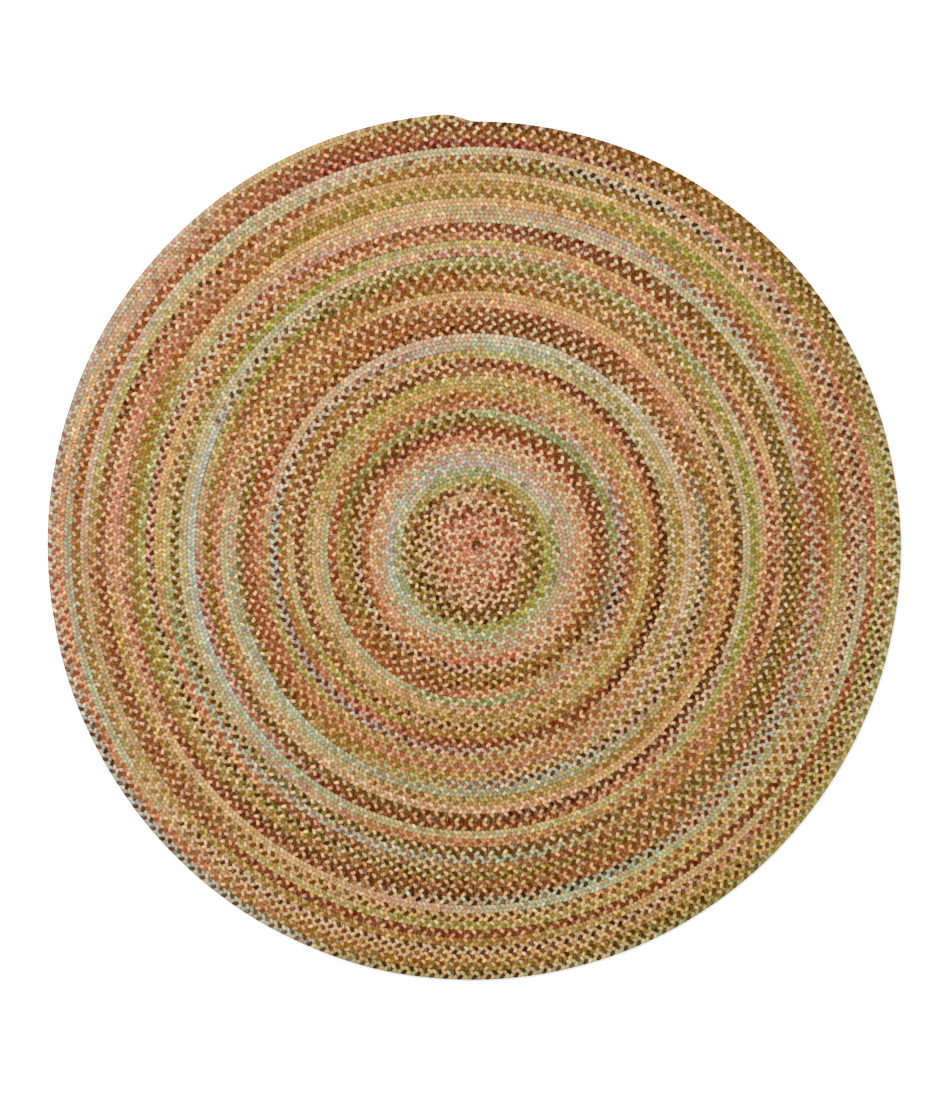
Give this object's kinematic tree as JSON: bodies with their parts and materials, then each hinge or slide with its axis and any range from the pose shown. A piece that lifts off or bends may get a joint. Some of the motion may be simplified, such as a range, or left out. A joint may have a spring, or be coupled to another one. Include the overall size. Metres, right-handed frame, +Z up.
{
  "type": "braided rug",
  "caption": "Round flat rug: one long three-strand braid coiled into a spiral and laced row to row, with the outer end tucked in.",
  "frame": {"origin": "middle of the rug's outline, on its underside", "axes": "+Z up out of the rug's face, +Y from the middle towards the place where the braid's outer end is tucked in"},
  "size_m": [1.6668, 1.6902, 0.0095],
  "materials": {
    "braided_yarn": "matte, many-coloured yarn braid with raised stitches"
  },
  "bodies": {
    "root": {"braided_rug": "braided_yarn"}
  },
  "joints": []
}
